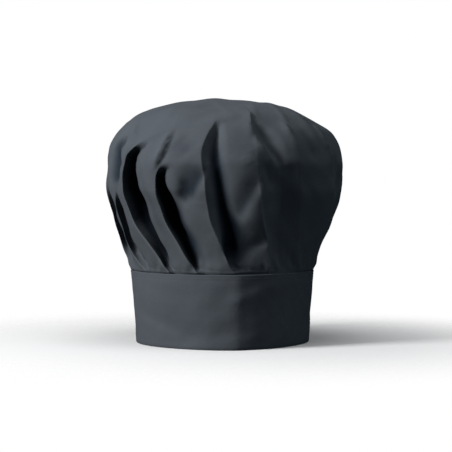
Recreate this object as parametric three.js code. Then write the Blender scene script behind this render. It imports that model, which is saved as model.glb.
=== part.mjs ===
// A chef's hat of black cloth, standing on its rim as it would on a table.
// The crown is one round piece of cloth, laid in sixteen knife pleats where it meets the band
// and puffed out above it. The band is a double strip of the same cloth whose two ends lap at
// the back, with a plain fastening patch between them. The hat is hollow and open below.
// Millimetres, +Z up, the front towards -Y. The origin is on the table, under the hat's middle.
// A bearing is an angle round the hat: 0 at the front, growing towards +X, in degrees.

import * as THREE from "three";

// Band: outside sizes at the rim and at the seam with the crown
const rimWidth = 177;
const rimDepth = 195;
const seamWidth = 189;
const seamDepth = 207;
const bandHeight = 74;
const bandWall = 2;

// Crown: outside sizes where it is widest, its rise above the band, how far its hem hangs
// inside the band and how clear of it, and how deep a pleat goes
const crownWidth = 245;
const crownDepth = 248;
const crownHeight = 174.5;
const clothWall = 1.2;
const hemTuck = 9;
const hemGap = 0.8;
const pleatDepth = 26;

// Back of the band: how far the ends lap, and the patch that joins them
const lapStart = 164;
const lapDegrees = 24;
const lapRamp = 14;
const patchWall = 1.2;
const patchHeight = 48;
const patchInset = 5;

// The crown stands a little to the right of the band. All is moved left by this, so that the
// hat's own middle is over the origin.
const moveLeft = 2;

// Gap left between pieces that are sewn or pressed together
const clearance = 0.3;

// How finely the surfaces are divided
const bandColumns = 75;
const patchColumns = 6;

// The crown's outline, one row for each level from the seam (along 0) over the top (along 1).
// up: height as a share of crownHeight. seam: share of the band's upper outline.
// left, right, front, back: share of half the crown's width or depth, added to that.
const crownProfile = [
  { along: 0, up: 0, seam: 1, left: 0, right: 0, front: 0, back: 0 },
  { along: 0.07, up: 0.095, seam: 0.8, left: 0.2, right: 0.2, front: 0.21, back: 0.22 },
  { along: 0.16, up: 0.23, seam: 0.5, left: 0.495, right: 0.515, front: 0.52, back: 0.53 },
  { along: 0.26, up: 0.375, seam: 0.16, left: 0.825, right: 0.855, front: 0.84, back: 0.85 },
  { along: 0.33, up: 0.475, seam: 0, left: 0.99, right: 1.01, front: 1.005, back: 0.985 },
  { along: 0.41, up: 0.6, seam: 0, left: 0.975, right: 1.015, front: 1.015, back: 0.985 },
  { along: 0.48, up: 0.7, seam: 0, left: 0.955, right: 0.985, front: 0.975, back: 0.95 },
  { along: 0.55, up: 0.795, seam: 0, left: 0.885, right: 0.92, front: 0.89, back: 0.88 },
  { along: 0.63, up: 0.868, seam: 0, left: 0.79, right: 0.775, front: 0.77, back: 0.76 },
  { along: 0.71, up: 0.925, seam: 0, left: 0.645, right: 0.6, front: 0.6, back: 0.59 },
  { along: 0.8, up: 0.965, seam: 0, left: 0.44, right: 0.44, front: 0.42, back: 0.41 },
  { along: 0.9, up: 0.99, seam: 0, left: 0.21, right: 0.23, front: 0.22, back: 0.21 },
  { along: 1, up: 1, seam: 0, left: 0, right: 0, front: 0, back: 0 },
];

// The pleats, one row for each folded edge, going round from the left of the front: the edge's
// bearing at the six levels of foldLevels
const folds = [
  { seam: -79, low: -87, mid: -82, belly: -76, crest: -78, tip: -80 },
  { seam: -53, low: -64.8, mid: -67.8, belly: -62, crest: -62, tip: -60 },
  { seam: -32.8, low: -42, mid: -52, belly: -55, crest: -52, tip: -34 },
  { seam: -14.2, low: -22.6, mid: -30.4, belly: -32, crest: -26, tip: -21 },
  { seam: 6.8, low: 0.3, mid: -6.2, belly: -8.2, crest: -9.6, tip: -2 },
  { seam: 29.4, low: 27, mid: 20.4, belly: 16.9, crest: 16, tip: 16 },
  { seam: 56, low: 51, mid: 46, belly: 42, crest: 40, tip: 38 },
  { seam: 80, low: 74, mid: 69, belly: 65, crest: 63, tip: 61 },
  { seam: 103, low: 97, mid: 92, belly: 89, crest: 86, tip: 84 },
  { seam: 125, low: 120, mid: 116, belly: 112, crest: 110, tip: 108 },
  { seam: 147, low: 141, mid: 136, belly: 133, crest: 132, tip: 131 },
  { seam: 170, low: 163, mid: 158, belly: 157, crest: 155, tip: 153 },
  { seam: 193, low: 186, mid: 181, belly: 179, crest: 177, tip: 176 },
  { seam: 215, low: 209, mid: 204, belly: 201, crest: 200, tip: 200 },
  { seam: 238, low: 232, mid: 227, belly: 226, crest: 225, tip: 224 },
  { seam: 260, low: 253, mid: 249, belly: 249, crest: 249, tip: 250 },
];
const foldLevels = { seam: 0, low: 0.1, mid: 0.22, belly: 0.36, crest: 0.45, tip: 0.6 };

// An edge leans over its hollow only where that is deep enough: none at the first depth, all at the second
const leanFrom = 8;
const leanFull = 18;

// How much narrower a hollow gets towards the place where its pleat has opened out
const narrowing = 0.4;

// The hollow beside each folded edge, in the same order.
// dies: the level, along the crown, where the pleat has opened out. lowDeep, deep: share of
// pleatDepth, low down and higher up. lowWide, wide: how far the hollow reaches, low down and
// higher up, 1 being plain.
// lean: how far the edge leans over the hollow, 0 upright and 1 most.
const hollows = [
  { dies: 0.37, lowDeep: 0.35, deep: 0.25, lowWide: 1, wide: 1, lean: 0.9 },
  { dies: 0.36, lowDeep: 0.36, deep: 0.32, lowWide: 0.8, wide: 1.2, lean: 0.9 },
  { dies: 0.52, lowDeep: 0.8, deep: 1.05, lowWide: 0.7, wide: 1, lean: 0.7 },
  { dies: 0.44, lowDeep: 0.75, deep: 0.95, lowWide: 0.75, wide: 0.95, lean: 0.8 },
  { dies: 0.61, lowDeep: 0.85, deep: 0.55, lowWide: 1.7, wide: 0.9, lean: 0 },
  { dies: 0.6, lowDeep: 0.3, deep: 0.28, lowWide: 1.6, wide: 1.6, lean: 0 },
  { dies: 0.35, lowDeep: 0.02, deep: 0.02, lowWide: 1, wide: 1, lean: 0.1 },
  { dies: 0.5, lowDeep: 0.08, deep: 0.08, lowWide: 1, wide: 1.1, lean: 0.4 },
  { dies: 0.55, lowDeep: 0.8, deep: 0.8, lowWide: 1.2, wide: 1.2, lean: 0.8 },
  { dies: 0.62, lowDeep: 1, deep: 1, lowWide: 1, wide: 1, lean: 0.5 },
  { dies: 0.52, lowDeep: 0.85, deep: 0.85, lowWide: 1.2, wide: 1.3, lean: 1 },
  { dies: 0.6, lowDeep: 1, deep: 1, lowWide: 1, wide: 1.1, lean: 0.3 },
  { dies: 0.56, lowDeep: 0.9, deep: 0.9, lowWide: 1.3, wide: 1, lean: 0.9 },
  { dies: 0.63, lowDeep: 1, deep: 1, lowWide: 1, wide: 1.2, lean: 0.6 },
  { dies: 0.54, lowDeep: 0.85, deep: 0.85, lowWide: 1.1, wide: 1.1, lean: 1 },
  { dies: 0.6, lowDeep: 0.95, deep: 0.95, lowWide: 1.2, wide: 1.3, lean: 0.4 },
];

// How deep a pleat is on its way up, as a share of its full depth, from the seam to where it dies
const pleatOpening = [
  { at: 0, deep: 0.13 },
  { at: 0.06, deep: 0.4 },
  { at: 0.16, deep: 0.72 },
  { at: 0.36, deep: 1 },
  { at: 0.6, deep: 0.94 },
  { at: 0.8, deep: 0.52 },
  { at: 1, deep: 0 },
];

// The pleat's cross-section from one folded edge to the next, along the cloth.
// pressed, leaning, open: how far round the cloth lies, where the pleat is pressed flat, where its
// edge leans over the hollow, and where it gapes. The columns that end in In give how far in the
// cloth lies there, as a share of the pleat's depth.
const pleatSection = [
  { cloth: 0, pressed: 0, pressedIn: 0, leaning: 0, leaningIn: 0, open: 0, openIn: 0 },
  { cloth: 0.08, pressed: 0.03, pressedIn: 0.42, leaning: -0.06, leaningIn: 0.4, open: 0.08, openIn: 0.26 },
  { cloth: 0.17, pressed: 0.08, pressedIn: 0.86, leaning: -0.13, leaningIn: 0.84, open: 0.2, openIn: 0.72 },
  { cloth: 0.28, pressed: 0.18, pressedIn: 1, leaning: -0.09, leaningIn: 1, open: 0.33, openIn: 1 },
  { cloth: 0.42, pressed: 0.34, pressedIn: 0.86, leaning: 0.05, leaningIn: 0.82, open: 0.43, openIn: 0.85 },
  { cloth: 0.58, pressed: 0.52, pressedIn: 0.6, leaning: 0.32, leaningIn: 0.44, open: 0.57, openIn: 0.48 },
  { cloth: 0.76, pressed: 0.72, pressedIn: 0.28, leaning: 0.63, leaningIn: 0.15, open: 0.74, openIn: 0.18 },
  { cloth: 0.9, pressed: 0.88, pressedIn: 0.06, leaning: 0.87, leaningIn: 0.03, open: 0.89, openIn: 0.03 },
];

// Soft dents and rises in the crown's panels, each a straight stroke from one place to another.
// from, low: the bearing and level where it starts. to, high: where it ends. left, right: its reach
// to either side, in millimetres, as seen from outside along the stroke. proud: its height.
const crownStrokes = [
  // the flat to the right of the front ridge
  { from: 41, low: 0.05, to: 45, high: 0.42, left: 34, right: 36, proud: -9.0 },
  // the pouch right of the third groove
  { from: -24, low: 0.315, to: -15, high: 0.285, left: 18, right: 7, proud: -4.6 },
  { from: -15, low: 0.285, to: -9.5, high: 0.385, left: 16, right: 6, proud: -3.2 },
  // the pouch left of the front ridge
  { from: 1.8, low: 0.292, to: 8.2, high: 0.254, left: 14, right: 7, proud: -3.4 },
  { from: 8.2, low: 0.254, to: 15.2, high: 0.352, left: 15, right: 7, proud: -2.4 },
  { from: 11, low: 0.032, to: 25.8, high: 0.124, left: 9, right: 5, proud: -3.2 },
  // the diagonal folds on the right
  { from: 17.5, low: 0.504, to: 26, high: 0.43, left: 9, right: 9, proud: 2.6 },
  { from: 26, low: 0.43, to: 31, high: 0.352, left: 9, right: 9, proud: 1.8 },
  { from: 19, low: 0.43, to: 27, high: 0.33, left: 8, right: 8, proud: -2.4 },
  { from: 17.8, low: 0.6, to: 28.2, high: 0.454, left: 9, right: 9, proud: -2 },
  { from: 36.5, low: 0.554, to: 40.2, high: 0.352, left: 8, right: 8, proud: 2.4 },
  { from: 49, low: 0.6, to: 52, high: 0.44, left: 9, right: 9, proud: -2.6 },
  // the folds left of the second groove
  { from: -66, low: 0.48, to: -64.5, high: 0.32, left: 6, right: 9, proud: -5 },
  // the pouches of the back
  { from: 95, low: 0.42, to: 104, high: 0.3, left: 8, right: 12, proud: -4 },
  { from: 142, low: 0.3, to: 150, high: 0.43, left: 12, right: 8, proud: -4 },
  { from: 184, low: 0.42, to: 193, high: 0.28, left: 8, right: 12, proud: -4.4 },
  { from: 232, low: 0.28, to: 240, high: 0.4, left: 12, right: 8, proud: -4 },
];

// Soft flats of the band, upright all the way: bearing, reach in degrees, share of bandWall
const bandFlats = [
  { bearing: -36, wide: 24, proud: -0.6 },
  { bearing: 52, wide: 20, proud: -0.6 },
  { bearing: 118, wide: 18, proud: -0.5 },
  { bearing: -110, wide: 20, proud: -0.5 },
];

// The pressed corner in the front of the band: its reach to the left and right, in degrees
const bandCorner = { bearing: 9, left: 22, right: 17, proud: 6.5, blunt: 0.015 };

// Levels at which the crown's surface is divided, from just above the seam to just below the top
const crownLevels = [
  0.012, 0.04, 0.075, 0.115, 0.16, 0.21, 0.26, 0.305, 0.345, 0.385, 0.425, 0.465, 0.505, 0.55, 0.6, 0.66,
  0.73, 0.81, 0.91,
];

const toRadians = THREE.MathUtils.degToRad;

// Reads a column of a table between its rows, along a curve that passes through every row and
// never overshoots one: each row's slope is the harmonic mean of the slopes on its two sides.
function read(table, key, column, place) {
  const last = table.length - 1;
  const x = THREE.MathUtils.clamp(place, table[0][key], table[last][key]);
  let row = 0;
  while (row < last - 1 && x > table[row + 1][key]) row++;
  const rise = (i) => (table[i + 1][column] - table[i][column]) / (table[i + 1][key] - table[i][key]);
  const slope = (i) => {
    if (i === 0) return rise(0);
    if (i === last) return rise(last - 1);
    const product = rise(i - 1) * rise(i);
    return product <= 0 ? 0 : (2 * product) / (rise(i - 1) + rise(i));
  };
  const span = table[row + 1][key] - table[row][key];
  const t = (x - table[row][key]) / span;
  const start = table[row][column] + t * t * (3 - 2 * t) * (table[row + 1][column] - table[row][column]);
  return start + span * t * (1 - t) * ((1 - t) * slope(row) - t * slope(row + 1));
}

// The smaller turn from one bearing to another, in degrees, between -180 and 180
function turnBetween(a, b) {
  return THREE.MathUtils.euclideanModulo(b - a + 180, 360) - 180;
}

// A point of the band's outside. It lies on an oval that grows from the rim to the seam,
// pushed in or out by the flats and the corner, and then by `offset`, square to the oval.
function bandPoint(bearing, height, offset = 0) {
  const a = toRadians(bearing);
  const share = height / bandHeight;
  const halfWidth = THREE.MathUtils.lerp(rimWidth, seamWidth, share) / 2;
  const halfDepth = THREE.MathUtils.lerp(rimDepth, seamDepth, share) / 2;
  const outward = new THREE.Vector3(Math.sin(a) / halfWidth, -Math.cos(a) / halfDepth, 0).normalize();
  let push = offset;
  for (const flat of bandFlats) {
    const away = turnBetween(flat.bearing, bearing) / flat.wide;
    push += flat.proud * bandWall * Math.exp(-away * away);
  }
  const aside = turnBetween(bandCorner.bearing, bearing);
  const away = aside / (aside < 0 ? bandCorner.left : bandCorner.right);
  push += bandCorner.proud * Math.exp(-Math.sqrt(away * away + bandCorner.blunt));
  const oval = new THREE.Vector3(halfWidth * Math.sin(a), -halfDepth * Math.cos(a), height);
  return oval.addScaledVector(outward, push);
}

// A point of the crown's outline, before pleats and dents: the band's upper outline blends into
// four quarter ovals, whose half sizes are the outline's left, right, front and back.
function outlinePoint(bearing, along) {
  const a = toRadians(bearing);
  const across = Math.sin(a) * read(crownProfile, "along", Math.sin(a) > 0 ? "right" : "left", along);
  const ahead = Math.cos(a) * read(crownProfile, "along", Math.cos(a) > 0 ? "front" : "back", along);
  const point = bandPoint(bearing, bandHeight).multiplyScalar(read(crownProfile, "along", "seam", along));
  point.x += (across * crownWidth) / 2;
  point.y -= (ahead * crownDepth) / 2;
  point.z = bandHeight + clearance + read(crownProfile, "along", "up", along) * crownHeight;
  return point;
}

// The outline's outward direction, square to two short steps round and up the crown
function outlineNormal(bearing, along) {
  const [higher, lower] = [Math.min(along + 0.01, 1), Math.max(along - 0.01, 0)];
  const round = outlinePoint(bearing + 1, along).sub(outlinePoint(bearing - 1, along));
  const up = outlinePoint(bearing, higher).sub(outlinePoint(bearing, lower));
  return round.cross(up).normalize();
}

// The bearing of a pleat's folded edge, along a curve through its bearings at the six levels
function foldBearing(fold, along) {
  const rows = Object.entries(foldLevels).map(([name, level]) => ({ level, bearing: fold[name] }));
  return read(rows, "level", "bearing", along);
}

// How far the soft strokes push the crown out at a place, in millimetres. A stroke is highest
// along its line and falls off as a bell curve, past its ends too, steeper on one side.
function strokeHeight(bearing, along) {
  const here = outlinePoint(bearing, along);
  let height = 0;
  for (const stroke of crownStrokes) {
    const line = new THREE.Line3(outlinePoint(stroke.from, stroke.low), outlinePoint(stroke.to, stroke.high));
    const aside = here.clone().sub(line.closestPointToPoint(here, true, new THREE.Vector3()));
    const outward = outlineNormal((stroke.from + stroke.to) / 2, (stroke.low + stroke.high) / 2);
    const onLeft = line.delta(new THREE.Vector3()).cross(aside).dot(outward) > 0;
    const away = aside.length() / (onLeft ? stroke.left : stroke.right);
    height += stroke.proud * Math.exp(-away * away);
  }
  return height;
}

// How far round the pitch, and how far in, in millimetres, the cloth of a pleat lies at a level:
// the pressed, leaning and open sections are mixed by the level and by the edge's lean.
function pleatShape(hollow, section, along) {
  const gape = along < hollow.dies ? read(pleatOpening, "at", "deep", along / hollow.dies) : 0;
  const pressed = 1 - THREE.MathUtils.smoothstep(along, 0.02, 0.24);
  const higher = THREE.MathUtils.smoothstep(along, 0.1, 0.28);
  const share = THREE.MathUtils.lerp(hollow.lowDeep, hollow.deep, higher);
  const depth = gape * share * pleatDepth;
  const leaning = (1 - pressed) * hollow.lean * THREE.MathUtils.smoothstep(depth, leanFrom, leanFull);
  const open = 1 - pressed - leaning;
  const round = pressed * section.pressed + leaning * section.leaning + open * section.open;
  const inward = pressed * section.pressedIn + leaning * section.leaningIn + open * section.openIn;
  const kept = along > foldLevels.mid ? THREE.MathUtils.smoothstep(gape, 0, 0.5) : 1;
  return { round: THREE.MathUtils.lerp(section.cloth, round, kept), inward: inward * depth };
}

// A point of the crown's outside: pleat number, row of the pleat's cross-section, level along.
function crownPoint(pleat, section, along) {
  const hollow = hollows[pleat];
  const next = folds[(pleat + 1) % folds.length];
  const edge = foldBearing(folds[pleat], along);
  const pitch = THREE.MathUtils.euclideanModulo(foldBearing(next, along) - edge, 360);
  const { round, inward } = pleatShape(hollow, section, along);
  const rise = THREE.MathUtils.smoothstep(along, 0.1, 0.24);
  const narrow = narrowing * THREE.MathUtils.smoothstep(along / hollow.dies, 0.72, 1);
  const wide = THREE.MathUtils.lerp(hollow.lowWide, hollow.wide, rise) * (1 - narrow);
  const share = round > 0 ? (round * wide) / (1 + round * (wide - 1)) : round;
  const bearing = edge + pitch * share;
  const push = strokeHeight(bearing, along) - inward;
  return outlinePoint(bearing, along).addScaledVector(outlineNormal(bearing, along), push);
}

// A point of the hem, which hangs inside the band: `below` is how far under the band's edge.
function hemPoint(pleat, section, below) {
  const top = crownPoint(pleat, section, 0);
  const bearing = THREE.MathUtils.radToDeg(Math.atan2(top.x / seamWidth, -top.y / seamDepth));
  const { inward } = pleatShape(hollows[pleat], section, 0);
  const point = bandPoint(bearing, bandHeight - Math.max(below, 0), -bandWall - hemGap - inward);
  point.z = bandHeight - below;
  return point;
}

// A closed mesh from rings of points. Each ring is a row of the outside; the inside lies a wall
// further in along the surface's own normals. `top` closes the rings over a single point.
function shellOfRings(rings, top, wall) {
  const columns = rings[0].length;
  const outside = [...rings.flat(), top];
  const topIndex = outside.length - 1;
  const faces = [];
  for (let r = 0; r + 1 < rings.length; r++) {
    for (let c = 0; c < columns; c++) {
      const d = (c + 1) % columns;
      const [a, b] = [r * columns + c, r * columns + d];
      faces.push([a, b, b + columns], [a, b + columns, a + columns]);
    }
  }
  const lastRing = (rings.length - 1) * columns;
  for (let c = 0; c < columns; c++) faces.push([lastRing + c, lastRing + ((c + 1) % columns), topIndex]);

  const normals = outside.map(() => new THREE.Vector3());
  for (const [a, b, c] of faces) {
    const ab = outside[b].clone().sub(outside[a]);
    const square = outside[c].clone().sub(outside[a]);
    const normal = ab.cross(square);
    for (const i of [a, b, c]) normals[i].add(normal);
  }
  const inside = outside.map((p, i) => p.clone().addScaledVector(normals[i].normalize(), -wall));

  const count = outside.length;
  const rim = [];
  for (let c = 0; c < columns; c++) {
    const d = (c + 1) % columns;
    rim.push([d, c, count + c], [d, count + c, count + d]);
  }
  const lining = faces.map(([a, b, c]) => [count + a, count + c, count + b]);
  return meshOf([...outside, ...inside], [...faces, ...lining, ...rim]);
}

// A closed strip that runs round the hat. `outline(column, height, side)` gives its points, with
// side 1 outside and 0 inside; the strip has two flat edges and two ends.
function stripOf(columns, heights, outline) {
  const around = heights.length * 2;
  const points = [];
  for (let c = 0; c <= columns; c++) {
    for (const h of heights) points.push(outline(c, h, 1));
    for (const h of [...heights].reverse()) points.push(outline(c, h, 0));
  }
  const faces = [];
  for (let c = 0; c < columns; c++) {
    for (let i = 0; i < around; i++) {
      const j = (i + 1) % around;
      const [a, b] = [c * around + i, c * around + j];
      faces.push([a, a + around, b + around], [a, b + around, b]);
    }
  }
  const last = columns * around;
  for (let i = 0; i + 1 < heights.length; i++) {
    const [a, b] = [i, i + 1];
    const [c, d] = [around - 2 - i, around - 1 - i];
    faces.push([a, b, c], [a, c, d], [last + a, last + c, last + b], [last + a, last + d, last + c]);
  }
  return meshOf(points, faces);
}

function meshOf(points, faces) {
  const geometry = new THREE.BufferGeometry().setFromPoints(points);
  geometry.setIndex(faces.flat());
  geometry.computeVertexNormals();
  return geometry;
}

function crownGeometry() {
  const pleats = folds.map((_, i) => i);
  const ring = (pointAt) => pleats.flatMap((pleat) => pleatSection.map((section) => pointAt(pleat, section)));
  const hem = [hemTuck, -clearance].map((below) => ring((pleat, section) => hemPoint(pleat, section, below)));
  const rise = crownLevels.map((along) => ring((pleat, section) => crownPoint(pleat, section, along)));
  return shellOfRings([...hem, ...rise], outlinePoint(0, 1), clothWall);
}

// How far the band's outer end stands off: it climbs over the inner end and the patch.
const lapRise = bandWall + patchWall + 2 * clearance;

function bandGeometry() {
  const heights = [0, 0.5, 1].map((share) => share * bandHeight);
  const sweep = 360 + lapDegrees;
  return stripOf(bandColumns, heights, (column, height, side) => {
    const turned = (sweep * column) / bandColumns;
    const climb = THREE.MathUtils.smoothstep(turned, 360 - lapRamp, 360 - 1) * lapRise;
    return bandPoint(lapStart + turned, height, climb - (1 - side) * bandWall);
  });
}

function patchGeometry() {
  const inset = patchInset / (seamDepth / 2);
  const start = lapStart + THREE.MathUtils.radToDeg(inset);
  const sweep = lapDegrees - 2 * THREE.MathUtils.radToDeg(inset);
  const heights = [-0.5, 0.5].map((share) => bandHeight / 2 + share * patchHeight);
  return stripOf(patchColumns, heights, (column, height, side) => {
    return bandPoint(start + (sweep * column) / patchColumns, height, clearance + side * patchWall);
  });
}

// Black cotton cloth, and the duller hook-and-loop tape of the patch
const cloth = new THREE.MeshStandardMaterial({ name: "black_cloth", color: 0x2a3036, roughness: 0.9 });
const tape = new THREE.MeshStandardMaterial({ name: "black_tape", color: 0x15171a, roughness: 1 });

function piece(name, geometry, material) {
  geometry.translate(-moveLeft, 0, 0);
  const mesh = new THREE.Mesh(geometry, material);
  mesh.name = name;
  return mesh;
}

const hat = new THREE.Group();
hat.add(piece("crown", crownGeometry(), cloth));
hat.add(piece("band", bandGeometry(), cloth));
hat.add(piece("fastening_patch", patchGeometry(), tape));

export default hat;
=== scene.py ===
# %% [markdown]
# # A chef's hat of black cloth
# The hat is two cloth pieces: a round crown laid in knife pleats, and a double band that laps at
# the back over a fastening patch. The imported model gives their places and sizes. Here each one is
# built again as finer cloth, with its folds, its weave and its stitching.

import bpy
import numpy as np
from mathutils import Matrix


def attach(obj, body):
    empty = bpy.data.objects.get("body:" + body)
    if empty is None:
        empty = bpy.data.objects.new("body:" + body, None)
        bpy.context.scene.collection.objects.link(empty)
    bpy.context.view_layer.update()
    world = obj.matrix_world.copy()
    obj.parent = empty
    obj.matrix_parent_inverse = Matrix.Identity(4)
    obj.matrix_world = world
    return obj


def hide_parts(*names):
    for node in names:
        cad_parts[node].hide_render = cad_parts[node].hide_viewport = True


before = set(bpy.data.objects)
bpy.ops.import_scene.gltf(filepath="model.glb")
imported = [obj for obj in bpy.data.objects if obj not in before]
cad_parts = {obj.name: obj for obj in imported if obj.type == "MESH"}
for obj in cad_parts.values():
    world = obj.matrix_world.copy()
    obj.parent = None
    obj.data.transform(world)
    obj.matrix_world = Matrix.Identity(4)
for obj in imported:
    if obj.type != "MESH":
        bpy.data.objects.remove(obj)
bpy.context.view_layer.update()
print("packed nodes:", sorted(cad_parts))

# %% [markdown]
# The shapes are worked out in millimetres and turned into metres when a mesh is made. The sizes
# are the ones that the solid model was built from, so each piece lands where its solid is.

# %% Sizes, in millimetres
MM = 0.001
RIM_WIDTH, RIM_DEPTH = 177, 195
SEAM_WIDTH, SEAM_DEPTH = 189, 207
BAND_HEIGHT, BAND_WALL = 74, 2
CROWN_WIDTH, CROWN_DEPTH, CROWN_HEIGHT = 245, 248, 174.5
PLEAT_DEPTH = 26
HEM_TUCK = 9
CLEARANCE = 0.3
MOVE_LEFT = 2
LAP_START, LAP_DEGREES, LAP_RAMP = 164, 24, 14
PATCH_WALL, PATCH_HEIGHT, PATCH_INSET = 1.2, 48, 5
CLOTH_THICKNESS = 0.6

# %% [markdown]
# A shape that was measured rather than drawn is easiest to keep as a small table. The curve
# through a table's rows must not overshoot, or a profile would bulge between two rows, so each
# row's slope is the harmonic mean of the slopes on its two sides.

# %% Read a table along a smooth curve
def read(table, key, column, place):
    """The column's value at a place between rows: a cubic with the rows' own slopes."""
    x, y = np.asarray(table[key], float), np.asarray(table[column], float)
    rise = np.diff(y) / np.diff(x)
    product = rise[:-1] * rise[1:]
    total = np.where(product > 0, rise[:-1] + rise[1:], 1.0)
    slope = np.concatenate([rise[:1], np.where(product > 0, 2 * product / total, 0.0), rise[-1:]])
    p = np.clip(place, x[0], x[-1])
    row = np.clip(np.searchsorted(x, p, side="right") - 1, 0, len(x) - 2)
    span = x[row + 1] - x[row]
    t = (p - x[row]) / span
    start = y[row] + t * t * (3 - 2 * t) * (y[row + 1] - y[row])
    return start + span * t * (1 - t) * ((1 - t) * slope[row] - t * slope[row + 1])


def smoothstep(low, high, x):
    """0 below low, 1 above high, and 3t^2 - 2t^3 between them."""
    t = np.clip((x - low) / (high - low), 0, 1)
    return t * t * (3 - 2 * t)


def turn_between(a, b):
    """The smaller turn from bearing a to bearing b, in degrees."""
    return (b - a + 180) % 360 - 180


# %% [markdown]
# Bearings go round the hat: 0 is the front, towards -Y, and they grow towards +X. The band is an
# oval that opens a little upwards. Pressed cloth is never quite round, so a few upright flats and
# corners push it in or out.

# %% The band's outside
BAND_FLATS = {
    "bearing": [-36, 52, 118, -110],
    "wide": [24, 20, 18, 20],
    "proud": [-0.6, -0.6, -0.5, -0.5],
}
CORNER_BEARING, CORNER_PROUD = 9, 6.5


def band_point(bearing, height, offset=0.0):
    """An oval of half sizes W and D: (W sin b, -D cos b), moved along its outward normal."""
    bearing, height, offset = np.broadcast_arrays(bearing, height, offset)
    a = np.radians(bearing)
    share = height / BAND_HEIGHT
    half_width = (RIM_WIDTH + (SEAM_WIDTH - RIM_WIDTH) * share) / 2
    half_depth = (RIM_DEPTH + (SEAM_DEPTH - RIM_DEPTH) * share) / 2
    out = np.stack([np.sin(a) / half_width, -np.cos(a) / half_depth, 0 * a], -1)
    out /= np.linalg.norm(out, axis=-1, keepdims=True)
    push = offset.astype(float)
    for at, wide, proud in zip(*BAND_FLATS.values()):
        push = push + proud * BAND_WALL * np.exp(-((turn_between(at, bearing) / wide) ** 2))
    away = turn_between(CORNER_BEARING, bearing)
    tent = np.sqrt((away / np.where(away < 0, 22, 17)) ** 2 + 0.015)
    push = push + CORNER_PROUD * np.exp(-tent)
    oval = np.stack([half_width * np.sin(a), -half_depth * np.cos(a), height], -1)
    return oval + out * push[..., None]


# %% [markdown]
# Without its pleats the crown is a smooth puffed shape. Its profile was read from the front view,
# as a share of the height and of the half widths at each level from the seam to the top.

# %% The crown's outline
CROWN_PROFILE = {
    "along": [0, 0.07, 0.16, 0.26, 0.33, 0.41, 0.48, 0.55, 0.63, 0.71, 0.8, 0.9, 1],
    "up": [0, 0.095, 0.23, 0.375, 0.475, 0.6, 0.7, 0.795, 0.868, 0.925, 0.965, 0.99, 1],
    "seam": [1, 0.8, 0.5, 0.16, 0, 0, 0, 0, 0, 0, 0, 0, 0],
    "left": [0, 0.2, 0.495, 0.825, 0.99, 0.975, 0.955, 0.885, 0.79, 0.645, 0.44, 0.21, 0],
    "right": [0, 0.2, 0.515, 0.855, 1.01, 1.015, 0.985, 0.92, 0.775, 0.6, 0.44, 0.23, 0],
    "front": [0, 0.21, 0.52, 0.84, 1.005, 1.015, 0.975, 0.89, 0.77, 0.6, 0.42, 0.22, 0],
    "back": [0, 0.22, 0.53, 0.85, 0.985, 0.985, 0.95, 0.88, 0.76, 0.59, 0.41, 0.21, 0],
}


def outline_point(bearing, along):
    """The band's upper oval, scaled down, plus four quarter ovals that grow with the level."""
    bearing, along = np.broadcast_arrays(bearing, along)
    a = np.radians(bearing)
    side = {name: read(CROWN_PROFILE, "along", name, along) for name in CROWN_PROFILE if name != "along"}
    across = np.sin(a) * np.where(np.sin(a) > 0, side["right"], side["left"])
    ahead = np.cos(a) * np.where(np.cos(a) > 0, side["front"], side["back"])
    point = band_point(bearing, BAND_HEIGHT) * side["seam"][..., None]
    point[..., 0] += across * CROWN_WIDTH / 2
    point[..., 1] -= ahead * CROWN_DEPTH / 2
    point[..., 2] = BAND_HEIGHT + CLEARANCE + side["up"] * CROWN_HEIGHT
    return point


def outline_normal(bearing, along):
    """The cross product of a short step round the crown and a short step up it."""
    around = outline_point(bearing + 1, along) - outline_point(bearing - 1, along)
    higher, lower = np.minimum(along + 0.01, 1), np.maximum(along - 0.01, 0)
    up = outline_point(bearing, higher) - outline_point(bearing, lower)
    normal = np.cross(around, up)
    return normal / np.maximum(np.linalg.norm(normal, axis=-1, keepdims=True), 1e-9)


# %% [markdown]
# A knife pleat is cloth folded under itself, all pleats the same way round. At the seam it is
# pressed flat. Further up it gapes into a groove, and near the crest it has opened out. Each pleat
# has a row here: the bearing of its folded edge at six levels, the level where it has gone, how
# deep and how wide its groove is, and how far the edge leans over the groove.

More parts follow.
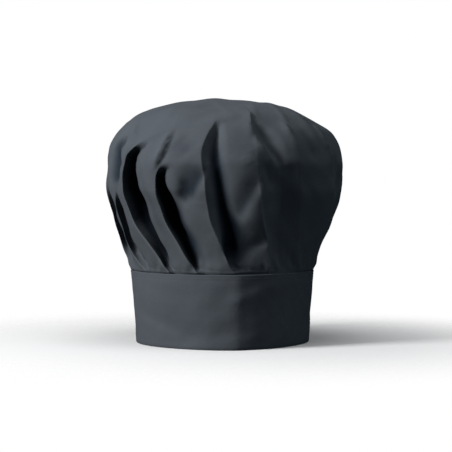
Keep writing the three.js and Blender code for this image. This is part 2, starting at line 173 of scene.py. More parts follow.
# %% The sixteen pleats
FOLDS = {
    "seam": [-79, -53, -32.8, -14.2, 6.8, 29.4, 56, 80, 103, 125, 147, 170, 193, 215, 238, 260],
    "low": [-87, -64.8, -42, -22.6, 0.3, 27, 51, 74, 97, 120, 141, 163, 186, 209, 232, 253],
    "mid": [-82, -67.8, -52, -30.4, -6.2, 20.4, 46, 69, 92, 116, 136, 158, 181, 204, 227, 249],
    "belly": [-76, -62, -55, -32, -8.2, 16.9, 42, 65, 89, 112, 133, 157, 179, 201, 226, 249],
    "crest": [-78, -62, -52, -27.5, -9.9, 16, 40, 63, 86, 110, 132, 155, 177, 200, 225, 249],
    "tip": [-80, -60, -26, -21, -4.2, 16, 38, 61, 84, 108, 131, 153, 176, 200, 224, 250],
    "dies": [0.37, 0.315, 0.51, 0.415, 0.61, 0.6, 0.35, 0.5, 0.55, 0.62, 0.52, 0.6, 0.56, 0.63, 0.54, 0.6],
    "low_deep": [0.35, 0.36, 0.9, 0.8, 0.85, 0.3, 0.02, 0.08, 0.8, 1.0, 0.85, 1.0, 0.9, 1.0, 0.85, 0.95],
    "deep": [0.25, 0.32, 1.05, 0.95, 0.55, 0.28, 0.02, 0.08, 0.8, 1.0, 0.85, 1.0, 0.9, 1.0, 0.85, 0.95],
    "low_wide": [1.0, 0.4, 0.3, 0.8, 1.7, 1.8, 1.0, 1.0, 1.2, 1.0, 1.2, 1.0, 1.3, 1.0, 1.1, 1.2],
    "wide": [1.0, 0.8, 1.22, 0.85, 0.76, 2.0, 1.0, 1.1, 1.2, 1.0, 1.3, 1.1, 1.0, 1.2, 1.1, 1.3],
    "lean": [0.9, 0.9, 1.0, 0.8, 0.0, 0.0, 0.1, 0.4, 0.8, 0.5, 1.0, 0.3, 0.9, 0.6, 1.0, 0.4],
}
FOLD_LEVELS = {"seam": 0, "low": 0.1, "mid": 0.22, "belly": 0.36, "crest": 0.45, "tip": 0.6}
PLEATS = len(FOLDS["seam"])

PLEAT_OPENING = {
    "at": [0, 0.06, 0.16, 0.36, 0.7, 0.86, 0.95, 1],
    "deep": [0.13, 0.4, 0.72, 1, 1, 0.72, 0.3, 0],
}

PLEAT_SECTION = {
    "cloth": [0, 0.03, 0.08, 0.15, 0.24, 0.34, 0.45, 0.58, 0.72, 0.86, 0.96, 1],
    "pressed": [0, -0.015, -0.06, -0.1, -0.09, -0.02, 0.09, 0.3, 0.55, 0.8, 0.95, 1],
    "pressed_in": [0, 0.14, 0.4, 0.7, 0.97, 1, 0.92, 0.72, 0.45, 0.2, 0.04, 0],
    "leaning": [0, -0.03, -0.1, -0.17, -0.16, -0.06, 0.1, 0.32, 0.56, 0.8, 0.95, 1],
    "leaning_in": [0, 0.1, 0.38, 0.74, 0.98, 1, 0.76, 0.44, 0.2, 0.07, 0.01, 0],
    "open": [0, 0.02, 0.08, 0.17, 0.29, 0.36, 0.45, 0.57, 0.7, 0.84, 0.96, 1],
    "open_in": [0, 0.05, 0.26, 0.6, 0.97, 1, 0.78, 0.48, 0.24, 0.08, 0.01, 0],
}


def fold_bearing(pleat, along):
    """The edge's bearing, along a smooth curve through its bearings at the six levels."""
    pleat, along = np.broadcast_arrays(pleat, along)
    bearing = np.zeros(along.shape)
    for i in range(PLEATS):
        path = {"level": list(FOLD_LEVELS.values()), "bearing": [FOLDS[k][i] for k in FOLD_LEVELS]}
        bearing = np.where(pleat == i, read(path, "level", "bearing", along), bearing)
    return bearing


# %% [markdown]
# Between the pleats the cloth is pulled and creased. A crease is a short stroke over the crown,
# high or low along its line, steeper on one side than on the other. Finer unevenness comes from
# adding up waves that run in fixed but scattered directions.

# %% Creases and unevenness
FRONT_FLAT = (41, 0.05, 43, 0.49, 34, 36, -9.0)
CREASES = [
    # from: bearing, level; to: bearing, level; reach to its left and right; height
    (-31.5, 0.416, -28.5, 0.474, 6, 1.5, 4.4),  # above the third groove
    (-28.5, 0.474, -26.8, 0.538, 6, 1.5, 4.4),
    (-30.2, 0.416, -25.9, 0.538, 1.6, 6, -1.8),
    (-22, 0.30, -17, 0.29, 20, 7, -3.0),  # the pouch right of it
    (-17, 0.29, -8.5, 0.405, 16, 6, -4.2),
    (-46, 0.4, -31, 0.1, 12, 12, -2.6),  # where the panels sag between the grooves
    (-23, 0.52, -15, 0.46, 14, 16, -2.4),
    (16.5, 0.36, 6.5, 0.195, 6, 16, -3.6),  # the pouch left of the front ridge
    (1.0, 0.100, 9.2, 0.100, 1.8, 2.6, -2.8),  # short wrinkles over the seam
    (0.5, 0.124, 9.5, 0.122, 2.0, 2.4, -1.4),
    (1.8, 0.082, 9.5, 0.080, 1.4, 2.0, -1.6),
    (12.0, 0.062, 25.8, 0.132, 11, 5, -2.8),  # the small facet beside the front ridge
    (15, 0.55, 18.5, 0.67, 6, 2.5, 2.6),  # the front ridge's upper end
    (17.5, 0.504, 26, 0.43, 5, 5, 3.2),  # diagonal folds on the right
    (26, 0.43, 31, 0.352, 5, 5, 2.2),
    (17.8, 0.6, 28.2, 0.454, 8, 8, -3.0),
    (19, 0.43, 27, 0.33, 6, 7, -2.6),
    (38.5, 0.62, 36.5, 0.554, 5, 5, 1.8),
    (36.5, 0.554, 40.2, 0.352, 6, 5, 1.5),
    (32, 0.49, 35, 0.37, 7, 6, -0.8),
    (63.8, 0.598, 62, 0.514, 5, 5, 2.0),
    (62, 0.514, 65, 0.442, 5, 5, 2.4),
    (49, 0.60, 52, 0.44, 9, 9, -2.6),
    (-64, 0.475, -62, 0.35, 9, 13, -6.5),  # the folds left of the second groove
    (-66.5, 0.485, -57, 0.415, 4, 5, -2.4),
    (-72, 0.43, -70, 0.34, 3, 3, 1.4),
    (-70, 0.5, -56, 0.515, 8, 9, -3.6),
    (-53, 0.56, -54, 0.47, 2.5, 7, 1.8),
    (-55.8, 0.606, -49.8, 0.516, 2, 5, 1.6),
    (-49.8, 0.516, -53.5, 0.436, 2, 5, 1.6),
    (9.2, 0.436, 14.8, 0.456, 1.4, 1.8, 0.7),  # short wrinkles beside the front ridge
    (10, 0.42, 15.2, 0.44, 1.4, 1.8, 0.7),
    (10.8, 0.462, 15, 0.476, 1.4, 1.8, 0.6),
    (-7, 0.6, 11, 0.645, 10, 5, 1.3),  # the arch over the fourth groove
    (20, 0.64, 34, 0.80, 5, 5, 0.9),  # fine gathers on the top
    (41, 0.62, 52, 0.78, 4, 6, 1.1),
    (58, 0.60, 66, 0.76, 5, 5, 1.0),
    (4, 0.66, -4, 0.82, 5, 6, 0.8),
    (-34, 0.62, -46, 0.78, 6, 5, 0.8),
    (95, 0.42, 104, 0.3, 8, 12, -4),  # the back
    (142, 0.3, 150, 0.43, 12, 8, -4),
    (118, 0.5, 122, 0.36, 5, 8, 2.4),
    (184, 0.42, 193, 0.28, 8, 12, -4.4),
    (166, 0.56, 171, 0.42, 6, 6, -2.6),
    (207, 0.12, 214, 0.1, 2, 3, -2.4),
    (232, 0.28, 240, 0.4, 12, 8, -4),
    (210, 0.5, 213, 0.36, 6, 6, 2.4),
]


def crease_height(points, strokes):
    """For each stroke: a bell over the distance to its line, which fades at the stroke's ends.
    Left and right are as seen from outside, looking along the stroke."""
    height = np.zeros(points.shape[:-1])
    for start_b, start_a, end_b, end_a, left, right, proud in strokes:
        start, end = outline_point(start_b, start_a), outline_point(end_b, end_a)
        line, out = end - start, outline_normal((start_b + end_b) / 2, (start_a + end_a) / 2)
        t = (points - start) @ line / (line @ line)
        near = np.clip(t, 0, 1)
        away = points - (start + near[..., None] * line)
        on_left = np.cross(line, away) @ out > 0
        reach = np.where(on_left, left, right)
        fade = 0.35 + 0.65 * smoothstep(-0.1, 0.3, t) * smoothstep(-0.1, 0.3, 1 - t)
        height += proud * fade * np.exp(-(np.linalg.norm(away, axis=-1) / reach) ** 2)
    return height


def unevenness(points, wavelength, seed, waves=14):
    """A sum of cosines in scattered directions, about 1 high, whose lengths are near wavelength."""
    rng = np.random.default_rng(seed)
    direction = rng.normal(size=(waves, 3))
    direction /= np.linalg.norm(direction, axis=1, keepdims=True)
    number = 2 * np.pi / (wavelength * rng.uniform(0.7, 1.4, waves))
    phase = points @ (direction * number[:, None]).T + rng.uniform(0, 2 * np.pi, waves)
    return np.cos(phase).sum(-1) * np.sqrt(2 / waves)


# %% The crown's cloth as a grid
SECTION_STOPS = [0, 0.012, 0.03, 0.055, 0.085, 0.12, 0.155, 0.195, 0.24, 0.29, 0.34, 0.39, 0.44,
                 0.5, 0.56, 0.62, 0.68, 0.74, 0.8, 0.86, 0.92, 0.965]
FRONT_PLEATS, FRONT_COLUMNS, BACK_COLUMNS = range(1, 7), 32, 16
HEM_STOPS = [HEM_TUCK, 7, 5, 3, 1.2, -CLEARANCE]
LEVELS = np.concatenate([[0.003, 0.008, 0.014, 0.021, 0.029], np.linspace(0.037, 0.978, 124)])


def pleat_shape(cloth, pleat, along):
    """How far round the pitch, and how far in, in millimetres, the cloth lies: the pressed,
    leaning and open sections are mixed by the level and by the edge's lean."""
    at = {k: read(PLEAT_SECTION, "cloth", k, cloth) for k in PLEAT_SECTION if k != "cloth"}
    dies = np.asarray(FOLDS["dies"])[pleat]
    lean = np.asarray(FOLDS["lean"])[pleat]
    gape = np.where(along < dies, read(PLEAT_OPENING, "at", "deep", along / dies), 0)
    pressed = 1 - smoothstep(0.02, 0.24, along)
    leaning = (1 - pressed) * lean
    opened = 1 - pressed - leaning
    place = pressed * at["pressed"] + leaning * at["leaning"] + opened * at["open"]
    depth = pressed * at["pressed_in"] + leaning * at["leaning_in"] + opened * at["open_in"]
    low_deep, deep = np.asarray(FOLDS["low_deep"])[pleat], np.asarray(FOLDS["deep"])[pleat]
    gape = gape * (1 - smoothstep(0.5, 1.0, along / dies) * smoothstep(0.3, 0.6, cloth))
    full = gape * (low_deep + (deep - low_deep) * smoothstep(0.1, 0.28, along)) * PLEAT_DEPTH
    kept = np.where(along > FOLD_LEVELS["mid"], smoothstep(0.0, 0.5, gape), 1.0) * smoothstep(3, 9, full)
    return cloth + (place - cloth) * kept, depth * full


def crown_grid(pleat, cloth, along):
    """Outline point + outward normal x (creases + unevenness - the pleat's depth), and the
    height of the creases by themselves."""
    pleat, cloth, along = np.broadcast_arrays(pleat, cloth, along)
    edge = fold_bearing(pleat, along)
    pitch = (fold_bearing((pleat + 1) % PLEATS, along) - edge) % 360
    place, depth = pleat_shape(cloth, pleat, along)
    low_wide, wide = np.asarray(FOLDS["low_wide"])[pleat], np.asarray(FOLDS["wide"])[pleat]
    wide = low_wide + (wide - low_wide) * smoothstep(0.11, 0.26, along)
    wide *= 1 - 0.55 * smoothstep(0.72, 1.0, along / np.asarray(FOLDS["dies"])[pleat])
    share = np.where(place > 0, place * wide / (1 + place * (wide - 1)), place)
    bearing = edge + pitch * share
    base = outline_point(bearing, along)
    creased = crease_height(base, CREASES) * (1 - smoothstep(3, 12, depth) * smoothstep(0.12, 0.2, along))
    rise = crease_height(base, [FRONT_FLAT]) + creased
    quiet = smoothstep(0.0, 0.12, along)
    rise += quiet * (0.7 * unevenness(base, 62, 1) + 0.3 * unevenness(base, 24, 2))
    rise += (1 - quiet) * 0.7 * unevenness(base * [1, 1, 0.2], 8, 3) * smoothstep(0.0, 0.03, along)
    return base + outline_normal(bearing, along) * (rise - depth)[..., None], creased


def hem_grid(pleat, cloth, below):
    """The crown's raw edge, hanging inside the band and following each pleat's folds."""
    pleat, cloth, below = np.broadcast_arrays(pleat, cloth, below)
    top, _ = crown_grid(pleat, cloth, 0.0 * below)
    bearing = np.degrees(np.arctan2(top[..., 0] / SEAM_WIDTH, -top[..., 1] / SEAM_DEPTH))
    place, depth = pleat_shape(cloth, pleat, 0.0 * below)
    point = band_point(bearing, BAND_HEIGHT - np.maximum(below, 0), -BAND_WALL - CLEARANCE - depth)
    point[..., 2] = BAND_HEIGHT - below
    return point


def stops_of(pleat):
    """The section's stops, spread over more columns on the front pleats than on the others."""
    columns = FRONT_COLUMNS if pleat in FRONT_PLEATS else BACK_COLUMNS
    every = [*SECTION_STOPS, 1]
    return np.interp(np.arange(columns) / columns, np.linspace(0, 1, len(every)), every)


cloth_of = np.concatenate([stops_of(pleat) for pleat in range(PLEATS)])[None, :]
pleat_of = np.concatenate([np.full(len(stops_of(pleat)), pleat) for pleat in range(PLEATS)])[None, :]
hem_rows = hem_grid(pleat_of, cloth_of, np.array(HEM_STOPS)[:, None])
risen_rows, crease_rows = crown_grid(pleat_of, cloth_of, LEVELS[:, None])
crown_rows = np.concatenate([hem_rows, risen_rows])
print("crown grid:", crown_rows.shape)

# %% [markdown]
# The camera is where the photographer's was: in front, a little above the seam of the crown and
# looking slightly down, close enough for the rim to curve. The floor is a pale disc that fades out,
# so no horizon crosses the picture from any side. One large soft light stands to the left and
# shapes the folds, a weaker one hangs above, and the surroundings fill the shadows a little.

# %% Camera, floor and lights
from mathutils import Vector


def aim(thing, target):
    thing.rotation_euler = (Vector(target) - thing.location).to_track_quat("-Z", "Y").to_euler()


camera = bpy.data.objects.new("camera", bpy.data.cameras.new("camera"))
camera.location = (0.002, -1.75, 0.168)
camera.data.lens = 135.3
camera.data.sensor_width = 36
aim(camera, (0.002, 0, 0.1185))
bpy.context.collection.objects.link(camera)
bpy.context.scene.camera = camera
bpy.context.scene.view_settings.view_transform = "Standard"


def soft_light(name, bearing, height, distance, width, tall, power, colour=(1, 1, 1)):
    """A rectangular soft light on a bearing from the hat, aimed at the crown's middle."""
    light = bpy.data.objects.new(name, bpy.data.lights.new(name, "AREA"))
    light.data.shape = "RECTANGLE"
    light.data.size, light.data.size_y = width, tall
    light.data.energy = power
    light.data.color = colour
    turn = np.radians(bearing)
    light.location = (distance * np.sin(turn), -distance * np.cos(turn), height)
    aim(light, (0, 0, 0.15))
    bpy.context.collection.objects.link(light)
    return light


soft_light("key_light", -58, 0.95, 1.6, 0.5, 0.5, 58)
soft_light("fill_light", 66, 0.5, 1.6, 0.8, 0.8, 4.6, (0.78, 0.93, 1))
soft_light("top_light", 20, 1.6, 0.35, 0.8, 0.8, 10)

world = bpy.data.worlds.new("studio")
bpy.context.scene.world = world
world.use_nodes = True
nodes, links = world.node_tree.nodes, world.node_tree.links
nodes["Background"].inputs["Color"].default_value = (0.3, 0.6, 1, 1)
nodes["Background"].inputs["Strength"].default_value = 0.03
seen = nodes.new("ShaderNodeBackground")
seen.inputs["Color"].default_value = (1, 1, 1, 1)
mix, path = nodes.new("ShaderNodeMixShader"), nodes.new("ShaderNodeLightPath")
links.new(path.outputs["Is Camera Ray"], mix.inputs["Fac"])
links.new(nodes["Background"].outputs[0], mix.inputs[1])
links.new(seen.outputs[0], mix.inputs[2])
links.new(mix.outputs[0], nodes["World Output"].inputs["Surface"])

# %% The floor
ring = np.radians(np.arange(0, 360, 5))
floor_points = [(0, 0, 0)] + [(0.8 * np.cos(a), 0.8 * np.sin(a), 0) for a in ring]
floor_mesh = bpy.data.meshes.new("floor")
floor_mesh.from_pydata(floor_points, [], [(0, i + 1, (i + 1) % len(ring) + 1) for i in range(len(ring))])
floor = bpy.data.objects.new("floor", floor_mesh)
bpy.context.collection.objects.link(floor)
paper = bpy.data.materials.new("pale_paper")
paper.use_nodes = True
nodes, links = paper.node_tree.nodes, paper.node_tree.links
shader = nodes["Principled BSDF"]
shader.inputs["Roughness"].default_value = 0.9
shader.inputs["Specular IOR Level"].default_value = 0.1
coordinates, length = nodes.new("ShaderNodeTexCoord"), nodes.new("ShaderNodeVectorMath")
length.operation = "LENGTH"
fade = nodes.new("ShaderNodeMapRange")
fade.interpolation_type = "SMOOTHSTEP"
for socket_name, value in (("From Min", 0.1), ("From Max", 0.42), ("To Min", 0.9), ("To Max", 0)):
    fade.inputs[socket_name].default_value = value
links.new(coordinates.outputs["Object"], length.inputs[0])
links.new(length.outputs["Value"], fade.inputs["Value"])
links.new(fade.outputs["Result"], shader.inputs["Alpha"])
path, tone = nodes.new("ShaderNodeLightPath"), nodes.new("ShaderNodeMix")
tone.data_type = "RGBA"
tone.inputs[6].default_value = (0.1, 0.1, 0.1, 1)
tone.inputs[7].default_value = (0.6, 0.6, 0.6, 1)
links.new(path.outputs["Is Camera Ray"], tone.inputs[0])
links.new(tone.outputs[2], shader.inputs["Base Color"])
floor_mesh.materials.append(paper)

# %% [markdown]
# Three effects are shared by the cloths, so each is a node group that is built once: the twill's
# fine diagonal ribs, the soft crumple that handling leaves, and the pale lint that black cloth
# picks up.

# %% A helper that builds a node group
def node_group(name, inputs, outputs):
    """An empty shader group with named sockets, and its input and output nodes."""
    group = bpy.data.node_groups.new(name, "ShaderNodeTree")
    for in_out, sockets in (("INPUT", inputs), ("OUTPUT", outputs)):
        for socket_name, (kind, value) in sockets.items():
            socket = group.interface.new_socket(socket_name, in_out=in_out, socket_type="NodeSocket" + kind)
            if value is not None:
                socket.default_value = value
    return group, group.nodes.new("NodeGroupInput"), group.nodes.new("NodeGroupOutput")


def calculate(tree, operation, *values):
    """A Math node; each value is a number or an output socket."""
    node = tree.nodes.new("ShaderNodeMath")
    node.operation = operation
    for socket, value in zip(node.inputs, values):
        if isinstance(value, (int, float)):
            socket.default_value = value
        else:
            tree.links.new(value, socket)
    return node.outputs[0]


def noise(tree, vector, scale, detail, roughness=0.5):
    node = tree.nodes.new("ShaderNodeTexNoise")
    node.inputs["Scale"].default_value = scale
    node.inputs["Detail"].default_value = detail
    node.inputs["Roughness"].default_value = roughness
    tree.links.new(vector, node.inputs["Vector"])
    return node.outputs["Fac"]


# %% Twill, crumple and lint
twill, given, put = node_group(
    "twill_ribs",
    {"Flat place": ("Vector", None), "Ribs per metre": ("Float", 1400.0)},
    {"Height": ("Float", None)},
)
parts = twill.nodes.new("ShaderNodeSeparateXYZ")
twill.links.new(given.outputs["Flat place"], parts.inputs[0])
across = calculate(twill, "MULTIPLY", parts.outputs["X"], given.outputs["Ribs per metre"])
along = calculate(twill, "MULTIPLY", parts.outputs["Y"], given.outputs["Ribs per metre"])
rib = calculate(twill, "SINE", calculate(twill, "MULTIPLY", calculate(twill, "ADD", across, along), 6.2832))
yarn = calculate(twill, "SINE", calculate(twill, "MULTIPLY", across, 12.5664))
both = calculate(twill, "MULTIPLY_ADD", yarn, 0.35, rib)
twill.links.new(calculate(twill, "MULTIPLY_ADD", both, 0.37, 0.5), put.inputs["Height"])

crumple, given, put = node_group(
    "soft_crumple", {"Place": ("Vector", None)}, {"Height": ("Float", None), "Tone": ("Float", None)}
)
broad = noise(crumple, given.outputs["Place"], 38, 2, 0.45)
fine = noise(crumple, given.outputs["Place"], 130, 3, 0.5)
crumple.links.new(calculate(crumple, "MULTIPLY_ADD", fine, 0.3, broad), put.inputs["Height"])
crumple.links.new(noise(crumple, given.outputs["Place"], 14, 3, 0.6), put.inputs["Tone"])

lint, given, put = node_group(
    "pale_lint", {"Place": ("Vector", None), "Amount": ("Float", 0.5)}, {"Mask": ("Float", None)}
)
fluff = noise(lint, given.outputs["Place"], 900, 2, 0.6)
patchy = noise(lint, given.outputs["Place"], 60, 2, 0.5)
specks = calculate(lint, "MULTIPLY", calculate(lint, "SUBTRACT", fluff, 0.66), 12.0)
specks = calculate(lint, "MINIMUM", calculate(lint, "MAXIMUM", specks, 0.0), 1.0)
lint.links.new(
    calculate(lint, "MULTIPLY", calculate(lint, "MULTIPLY", specks, patchy), given.outputs["Amount"]),
    put.inputs["Mask"],
)

# %% [markdown]
# Black poly-cotton isn't black: washing and light fade it to a dull blue-grey, a little paler along
# pressed folds. Deep in the crown's pleats and in the dents of its creases the colour is painted
# almost black: this is painted shade, not the cloth's own colour. Its fibres catch light at a grazing
# angle, which is the shader's sheen. The weave follows the flat cloth's own coordinates, so the ribs
# run straight in the cloth and turn with each fold.

# %% The cloths
def place_group(material, group, values, vector):
    node = material.node_tree.nodes.new("ShaderNodeGroup")
    node.node_tree = group
    material.node_tree.links.new(vector, node.inputs[0])
    for socket_name, value in values.items():
        node.inputs[socket_name].default_value = value
    return node


def cloth_material(name, colour, worn_colour, crumple_height, rib_height):
    material = bpy.data.materials.new(name)
    material.use_nodes = True
    tree = material.node_tree
    nodes, links = tree.nodes, tree.links
    shader = nodes["Principled BSDF"]
    shader.inputs["Roughness"].default_value = 0.88
    shader.inputs["Specular IOR Level"].default_value = 0.1
    shader.inputs["Sheen Weight"].default_value = 0.03
    shader.inputs["Sheen Roughness"].default_value = 0.45
    shader.inputs["Sheen Tint"].default_value = (0.85, 0.92, 1, 1)
    coordinates, flat = nodes.new("ShaderNodeTexCoord"), nodes.new("ShaderNodeUVMap")
    flat.uv_map = "flat_cloth"
    ribs = place_group(material, twill, {"Ribs per metre": 1500.0}, flat.outputs["UV"])
    soft = place_group(material, crumple, {}, coordinates.outputs["Object"])
    fluff = place_group(material, lint, {"Amount": 0.5}, coordinates.outputs["Object"])
    # pressed_edge is wear along pressed folds; the other attribute is the mask of painted shade in folds
    # and dents.
    pressed, inside = nodes.new("ShaderNodeAttribute"), nodes.new("ShaderNodeAttribute")
    pressed.attribute_name, inside.attribute_name = "pressed_edge", "painted_fold_shade"

    def mixed(first, second, factor):
        node = nodes.new("ShaderNodeMix")
        node.data_type = "RGBA"
        for socket, value in ((node.inputs[6], first), (node.inputs[7], second), (node.inputs[0], factor)):
            if isinstance(value, tuple):
                socket.default_value = (*value, 1)
            else:
                links.new(value, socket)
        return node.outputs[2]

    darker = tuple(0.86 * c for c in colour)
    ground = mixed(darker, colour, soft.outputs["Tone"])
    worn = mixed(ground, worn_colour, calculate(tree, "MULTIPLY", pressed.outputs["Fac"], 0.45))
    # Painted shade: deep in the pleats and in crease dents the colour is mixed towards near black, standing
    # in for shadow.
    fold_shaded = mixed(worn, (0.004, 0.008, 0.014), inside.outputs["Fac"])
    links.new(mixed(fold_shaded, (0.16, 0.17, 0.18), fluff.outputs["Mask"]), shader.inputs["Base Color"])
    creased, woven = nodes.new("ShaderNodeBump"), nodes.new("ShaderNodeBump")
    creased.inputs["Distance"].default_value = crumple_height * MM
    woven.inputs["Distance"].default_value = rib_height * MM
    links.new(soft.outputs["Height"], creased.inputs["Height"])
    links.new(ribs.outputs["Height"], woven.inputs["Height"])
    links.new(creased.outputs["Normal"], woven.inputs["Normal"])
    links.new(woven.outputs["Normal"], shader.inputs["Normal"])
    return material


crown_cloth = cloth_material("crown_cloth", (0.051, 0.059, 0.068), (0.11, 0.12, 0.13), 0.7, 0.06)
band_cloth = cloth_material("band_cloth", (0.053, 0.061, 0.071), (0.11, 0.12, 0.13), 0.8, 0.06)
print("cloths:", crown_cloth.name, band_cloth.name)

# %% [markdown]
# A grid of points becomes a mesh here. Rows run up the cloth and columns run round it, and a
# closed grid joins its last column to its first.

# %% A helper that makes a mesh from a grid
def grid_faces(rows, columns, closed):
    """Four corners for each cell, anticlockwise as seen from outside."""
    c = np.arange(columns if closed else columns - 1)
    r = np.arange(rows - 1)[:, None]
    right = (c + 1) % columns
    this_row, next_row = r * columns, (r + 1) * columns
    corners = np.stack([this_row + c, this_row + right, next_row + right, next_row + c], -1)
    return corners.reshape(-1, 4)


def mesh_object(name, points, faces, material, flat=None):
    """A smooth-shaded mesh in metres, with its flat cloth coordinates, if any, as a UV map."""
    mesh = bpy.data.meshes.new(name)
    mesh.from_pydata(((np.asarray(points) - [MOVE_LEFT, 0, 0]) * MM).tolist(), [], faces)
    mesh.shade_smooth()
    if flat is not None:
        corner = np.zeros(len(mesh.loops), int)
        mesh.loops.foreach_get("vertex_index", corner)
        flat_places = np.asarray(flat)[corner] * MM
        mesh.uv_layers.new(name="flat_cloth").data.foreach_set("uv", flat_places.ravel())
    mesh.materials.append(material)
    piece = bpy.data.objects.new(name, mesh)
    bpy.context.collection.objects.link(piece)
    return piece


def add_thickness(piece, thickness):
    wall = piece.modifiers.new("thickness", "SOLIDIFY")
    wall.thickness = thickness * MM
    wall.offset = -1
    return wall


# %% The crown
rows, columns = crown_rows.shape[:2]
top = outline_point(0, 1)[None]
points = np.concatenate([crown_rows.reshape(-1, 3), top])
last = (rows - 1) * columns
faces = grid_faces(rows, columns, True).tolist()
faces += [(last + c, last + (c + 1) % columns, rows * columns) for c in range(columns)]

front_line = outline_point(0, np.linspace(0, 1, 200))
meridian = np.concatenate([[0], np.cumsum(np.linalg.norm(np.diff(front_line, axis=0), axis=1))])
from_top = meridian[-1] - np.interp(LEVELS, np.linspace(0, 1, 200), meridian)
from_top = np.concatenate([meridian[-1] + np.array(HEM_STOPS), from_top])[:, None]
turn = (pleat_of + cloth_of) / PLEATS * 2 * np.pi
flat = np.stack([from_top * np.sin(turn), -from_top * np.cos(turn)], -1).reshape(-1, 2)
flat = np.concatenate([flat, [[0, 0]]])

crown = mesh_object("crown_cloth_piece", points, faces, crown_cloth, flat)
edge_mask = np.exp(-((np.minimum(cloth_of, 1 - cloth_of) / 0.02) ** 2))
gone = np.asarray(FOLDS["dies"])[pleat_of]
levels = np.concatenate([np.zeros(len(HEM_STOPS)), LEVELS])[:, None]
edge_mask = edge_mask * (1 - smoothstep(0.5 * gone, gone, levels))
edge_mask = edge_mask * smoothstep(0.05, 0.3, np.asarray(FOLDS["deep"])[pleat_of])
# Painted shade mask: full deep in a pleat's groove and up to 0.9 in a crease's dent, where the cloth colour
# is darkened to stand in for shadow.
rows_in = pleat_shape(cloth_of, pleat_of, levels)[1]
dented = np.zeros(rows_in.shape)
dented[len(HEM_STOPS):] = -crease_rows
painted_shade_mask = np.maximum(smoothstep(6, 15, rows_in), 0.9 * smoothstep(0.6, 6, dented))
for attribute_name, mask in (("pressed_edge", edge_mask), ("painted_fold_shade", painted_shade_mask)):
    attribute = crown.data.attributes.new(attribute_name, "FLOAT", "POINT")
    attribute.data.foreach_set("value", np.append(mask.ravel(), 0).astype(np.float32))
add_thickness(crown, CLOTH_THICKNESS)

# %% [markdown]
# The band is one strip of cloth folded double over a stiff lining, so its lower edge is a rounded
# fold and its upper edge is two turned edges, topstitched together. Its cross-section is a closed
# loop, and the loop is carried round the head and a little further, so that the ends lap.

# %% The band's cross-section
def rounded_loop(height, wall, sides, corner):
    """Heights and depths round a strip's section: up the outside, over, and down the inside."""
    bend = np.linspace(0, np.pi / 2, corner)
    r = wall / 2 * 0.96
    rise = np.linspace(r, height - r, sides)
    up = np.stack([rise, 0 * rise], -1)
    over = np.stack([height - r + r * np.sin(bend[1:]), r - r * np.cos(bend[1:])], -1)
    half = np.concatenate([up, over])
    other = np.stack([half[::-1, 0], wall - half[::-1, 1]], -1)
    under = np.stack([r - r * np.sin(bend[1:]), wall - r + r * np.cos(bend[1:])], -1)
    back = np.stack([under[::-1, 0], wall - under[::-1, 1]], -1)
    loop = np.concatenate([half, other, under, back[:-1]])
    keep = np.linalg.norm(loop - np.roll(loop, 1, 0), axis=1) > 1e-4
    return loop[keep, 0], loop[keep, 1]


def strip_piece(name, bearings, heights, depths, offset_at, material):
    """The section carried round the bearings, with both ends drawn in a little and closed."""
    bearing, height, depth = bearings[:, None], heights[None, :], depths[None, :]
    middle = (depths.max() + depths.min()) / 2
    drawn = np.ones(len(bearings))
    drawn[[0, -1]], drawn[[1, -2]] = 0.45, 0.85
    inward = middle + (depth - middle) * drawn[:, None]
    grid = band_point(bearing, height, offset_at(bearing, height, depth) - inward)
    columns, around = len(bearings), len(heights)
    points = np.concatenate([grid.reshape(-1, 3), grid[[0, -1]].mean(axis=1)])
    first, last = np.arange(around), (columns - 1) * around + np.arange(around)
    faces = grid_faces(columns, around, True)[:, ::-1].tolist()
    faces += [(len(points) - 2, a, b) for a, b in zip(first, np.roll(first, -1))]
    faces += [(len(points) - 1, b, a) for a, b in zip(last, np.roll(last, -1))]
    step = np.linalg.norm(np.diff(grid[:, 0], axis=0), axis=1)
    run = np.concatenate([[0], np.cumsum(step)])
    girth = np.linalg.norm(np.diff(np.stack([heights, depths], -1), axis=0), axis=1)
    girth = np.concatenate([[0], np.cumsum(girth)])
    flat = np.stack(np.broadcast_arrays(run[:, None], girth[None, :]), -1).reshape(-1, 2)
    flat = np.concatenate([flat, flat[[0, -1]]])
    return mesh_object(name, points, faces, material, flat)


# %% The band
LAP_RISE = BAND_WALL + PATCH_WALL + 2 * CLEARANCE
STITCH_DROP = 4.0
BAND_DENTS = [
    # from: bearing, height; to: bearing, height; reach above and below; how proud
    (-62, 34, -14, 12, 12, 6, -1.3),  # the soft dent low on the left
    (-30, 6, 14, 20, 10, 7, -1.5),  # under the corner
    (4, 46, 40, 66, 6, 9, 1.2),  # right of the corner
    (60, 20, 110, 42, 9, 9, -1.0),
    (200, 50, 250, 26, 9, 9, -1.2),  # the back
    (118, 52, 150, 30, 8, 10, 1.0),
]


def lap_climb(turned):
    """The outer end stands off by the lap's rise: an ease in the last degrees before it laps."""
    return smoothstep(360 - LAP_RAMP, 359, turned) * LAP_RISE


def band_relief(bearing, height, depth):
    """The climb at the lap, a groove under the topstitching, and soft waves on the outside."""
    turned = bearing - LAP_START
    outside = 1 - depth / BAND_WALL
    surface = band_point(bearing, height)
    wave = 0.55 * unevenness(surface * [1, 1, 0.6], 70, 4) + 0.16 * unevenness(surface, 19, 5)
    groove = 0.3 * np.exp(-(((height - BAND_HEIGHT + STITCH_DROP) / 1.1) ** 2))
    fold = 0.25 * np.exp(-(((height - 1.5) / 2.5) ** 2))
    for start_b, start_h, end_b, end_h, above, below, proud in BAND_DENTS:
        run = np.clip((turn_between(start_b, bearing)) / (end_b - start_b), 0, 1)
        away = height - (start_h + (end_h - start_h) * run)
        aside = np.abs(turn_between((start_b + end_b) / 2, bearing)) / (abs(end_b - start_b) / 2)
        bell = np.exp(-((away / np.where(away > 0, above, below)) ** 2))
        wave += proud * (1 - smoothstep(0.6, 1.3, aside)) * bell
    free = smoothstep(0, 12, BAND_HEIGHT - height) * smoothstep(-4, 14, height)
    return lap_climb(turned) + outside * (fold - groove) + wave * (0.25 + 0.75 * free)


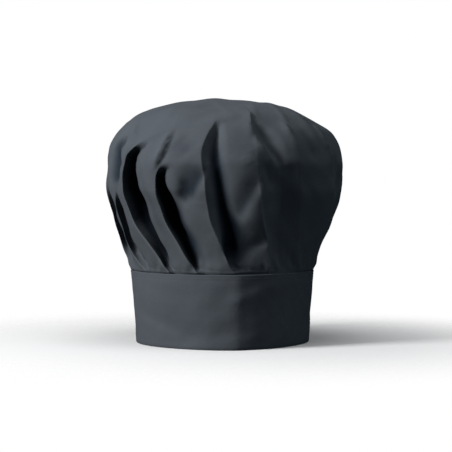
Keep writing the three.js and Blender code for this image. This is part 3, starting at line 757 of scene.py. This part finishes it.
LAP_END = 360 + LAP_DEGREES
band_turns = LAP_START + np.concatenate(
    [[0, 0.25], np.linspace(0.8, LAP_END - 1, 420), [LAP_END - 0.25, LAP_END]]
)
band_heights, band_depths = rounded_loop(BAND_HEIGHT, BAND_WALL, 26, 5)
band = strip_piece("band_cloth_piece", band_turns, band_heights, band_depths, band_relief, band_cloth)
print("band:", len(band.data.vertices), "points")

# %% [markdown]
# Between the lapped ends lies the patch of hook-and-loop tape that sets the hat's size. It shows
# only as a dark line in the lap. Its pile is a bump of fine noise.

# %% The fastening patch
tape = bpy.data.materials.new("patch_tape")
tape.use_nodes = True
nodes, links = tape.node_tree.nodes, tape.node_tree.links
nodes["Principled BSDF"].inputs["Roughness"].default_value = 0.95
nodes["Principled BSDF"].inputs["Sheen Weight"].default_value = 0.3
coordinates, pile = nodes.new("ShaderNodeTexCoord"), nodes.new("ShaderNodeBump")
fuzz = noise(tape.node_tree, coordinates.outputs["Object"], 1600, 3, 0.6)
pile.inputs["Distance"].default_value = 0.4 * MM
links.new(fuzz, pile.inputs["Height"])
links.new(pile.outputs["Normal"], nodes["Principled BSDF"].inputs["Normal"])
dark = nodes.new("ShaderNodeMix")
dark.data_type = "RGBA"
dark.inputs[6].default_value = (0.008, 0.009, 0.01, 1)
dark.inputs[7].default_value = (0.035, 0.037, 0.04, 1)
links.new(fuzz, dark.inputs[0])
links.new(dark.outputs[2], nodes["Principled BSDF"].inputs["Base Color"])

inset = np.degrees(PATCH_INSET / (SEAM_DEPTH / 2))
patch_turns = np.linspace(LAP_START + inset, LAP_START + LAP_DEGREES - inset, 40)
patch_heights, patch_depths = rounded_loop(PATCH_HEIGHT, PATCH_WALL, 30, 4)


def patch_place(bearing, height, depth):
    """The patch lies on the band's inner end, following its waves."""
    return band_relief(bearing, height, 0 * depth) - lap_climb(bearing - LAP_START) + CLEARANCE + PATCH_WALL


patch = strip_piece(
    "fastening_patch_piece",
    patch_turns,
    patch_heights + (BAND_HEIGHT - PATCH_HEIGHT) / 2,
    patch_depths,
    patch_place,
    tape,
)

# %% [markdown]
# Topstitching is a row of short thread loops, each a little higher in its middle where the thread
# lies over the cloth. A stitch is a tube of five rings of six points, repeated along the row.

# %% Stitching
thread = bpy.data.materials.new("sewing_thread")
thread.use_nodes = True
nodes, links = thread.node_tree.nodes, thread.node_tree.links
nodes["Principled BSDF"].inputs["Roughness"].default_value = 0.6
coordinates = nodes.new("ShaderNodeTexCoord")
strand = nodes.new("ShaderNodeMix")
strand.data_type = "RGBA"
strand.inputs[6].default_value = (0.03, 0.035, 0.042, 1)
strand.inputs[7].default_value = (0.075, 0.083, 0.092, 1)
links.new(noise(thread.node_tree, coordinates.outputs["Object"], 2500, 2), strand.inputs[0])
links.new(strand.outputs[2], nodes["Principled BSDF"].inputs["Base Color"])


def stitch_row(path, count, radius=0.24, share=0.78):
    """Points and faces of one row: rings round the path, swelling and rising towards each
    stitch's middle. path(t) gives points and outward directions for t from 0 to 1."""
    ring_at = np.array([0, 0.12, 0.5, 0.88, 1])
    swell = np.array([0.35, 0.9, 1.0, 0.9, 0.35])
    rise = np.array([-0.5, 0.1, 0.45, 0.1, -0.5])
    t = (np.arange(count)[:, None] + share * ring_at) / count
    place, out = path(t)
    ahead = path(t + 1e-4)[0] - place
    side = np.cross(ahead, out)
    side /= np.linalg.norm(side, axis=-1, keepdims=True)
    place = place + out * (rise * radius)[None, :, None]
    angle = np.radians(np.arange(0, 360, 60))
    spoke = side[:, :, None] * np.cos(angle)[:, None] + out[:, :, None] * np.sin(angle)[:, None]
    points = place[:, :, None] + spoke * (swell * radius)[None, :, None, None]
    one = grid_faces(5, 6, True)
    quads = (np.arange(count)[:, None, None] * 30 + one).reshape(-1, 4).tolist()
    ends = (np.arange(count)[:, None] * 30 + np.arange(6)[::-1]).tolist()
    ends += (np.arange(count)[:, None] * 30 + 24 + np.arange(6)).tolist()
    return points.reshape(-1, 3), quads + ends


def band_path(start, end, low, high):
    """A path over the band's outside from one bearing and height to another."""
    def path(t):
        bearing, height = start + (end - start) * t, low + (high - low) * t
        offset = band_relief(bearing, height, 0 * t)
        place = band_point(bearing, height, offset)
        out = band_point(bearing, height, offset + 1) - place
        return place, out
    return path


def stitched_piece(name, rows):
    points, faces, start = [], [], 0
    for path, count in rows:
        row_points, row_faces = stitch_row(path, count)
        points.append(row_points)
        faces += [[i + start for i in face] for face in row_faces]
        start += len(row_points)
    return mesh_object(name, np.concatenate(points), faces, thread)


lap_end = LAP_START + 360 + LAP_DEGREES
level = BAND_HEIGHT - STITCH_DROP
topstitching = stitched_piece("band_topstitching", [
    (band_path(LAP_START + LAP_DEGREES + 2, lap_end - 1.5, level, level), 190),
    (band_path(lap_end - 2, lap_end - 2, 3, level - 2), 20),
])
print("stitches:", len(topstitching.data.polygons) // 26)

# %% [markdown]
# Each piece is hung under the root body, and the imported node that it stands for is hidden.

# %% Hang each piece under the root in place of its solid
for piece, node, slot in (
    (crown, "crown", "crown_cloth"),
    (band, "band", "band_cloth"),
    (patch, "fastening_patch", "patch_tape"),
):
    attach(piece, "root")
    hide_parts(node)
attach(topstitching, "root")
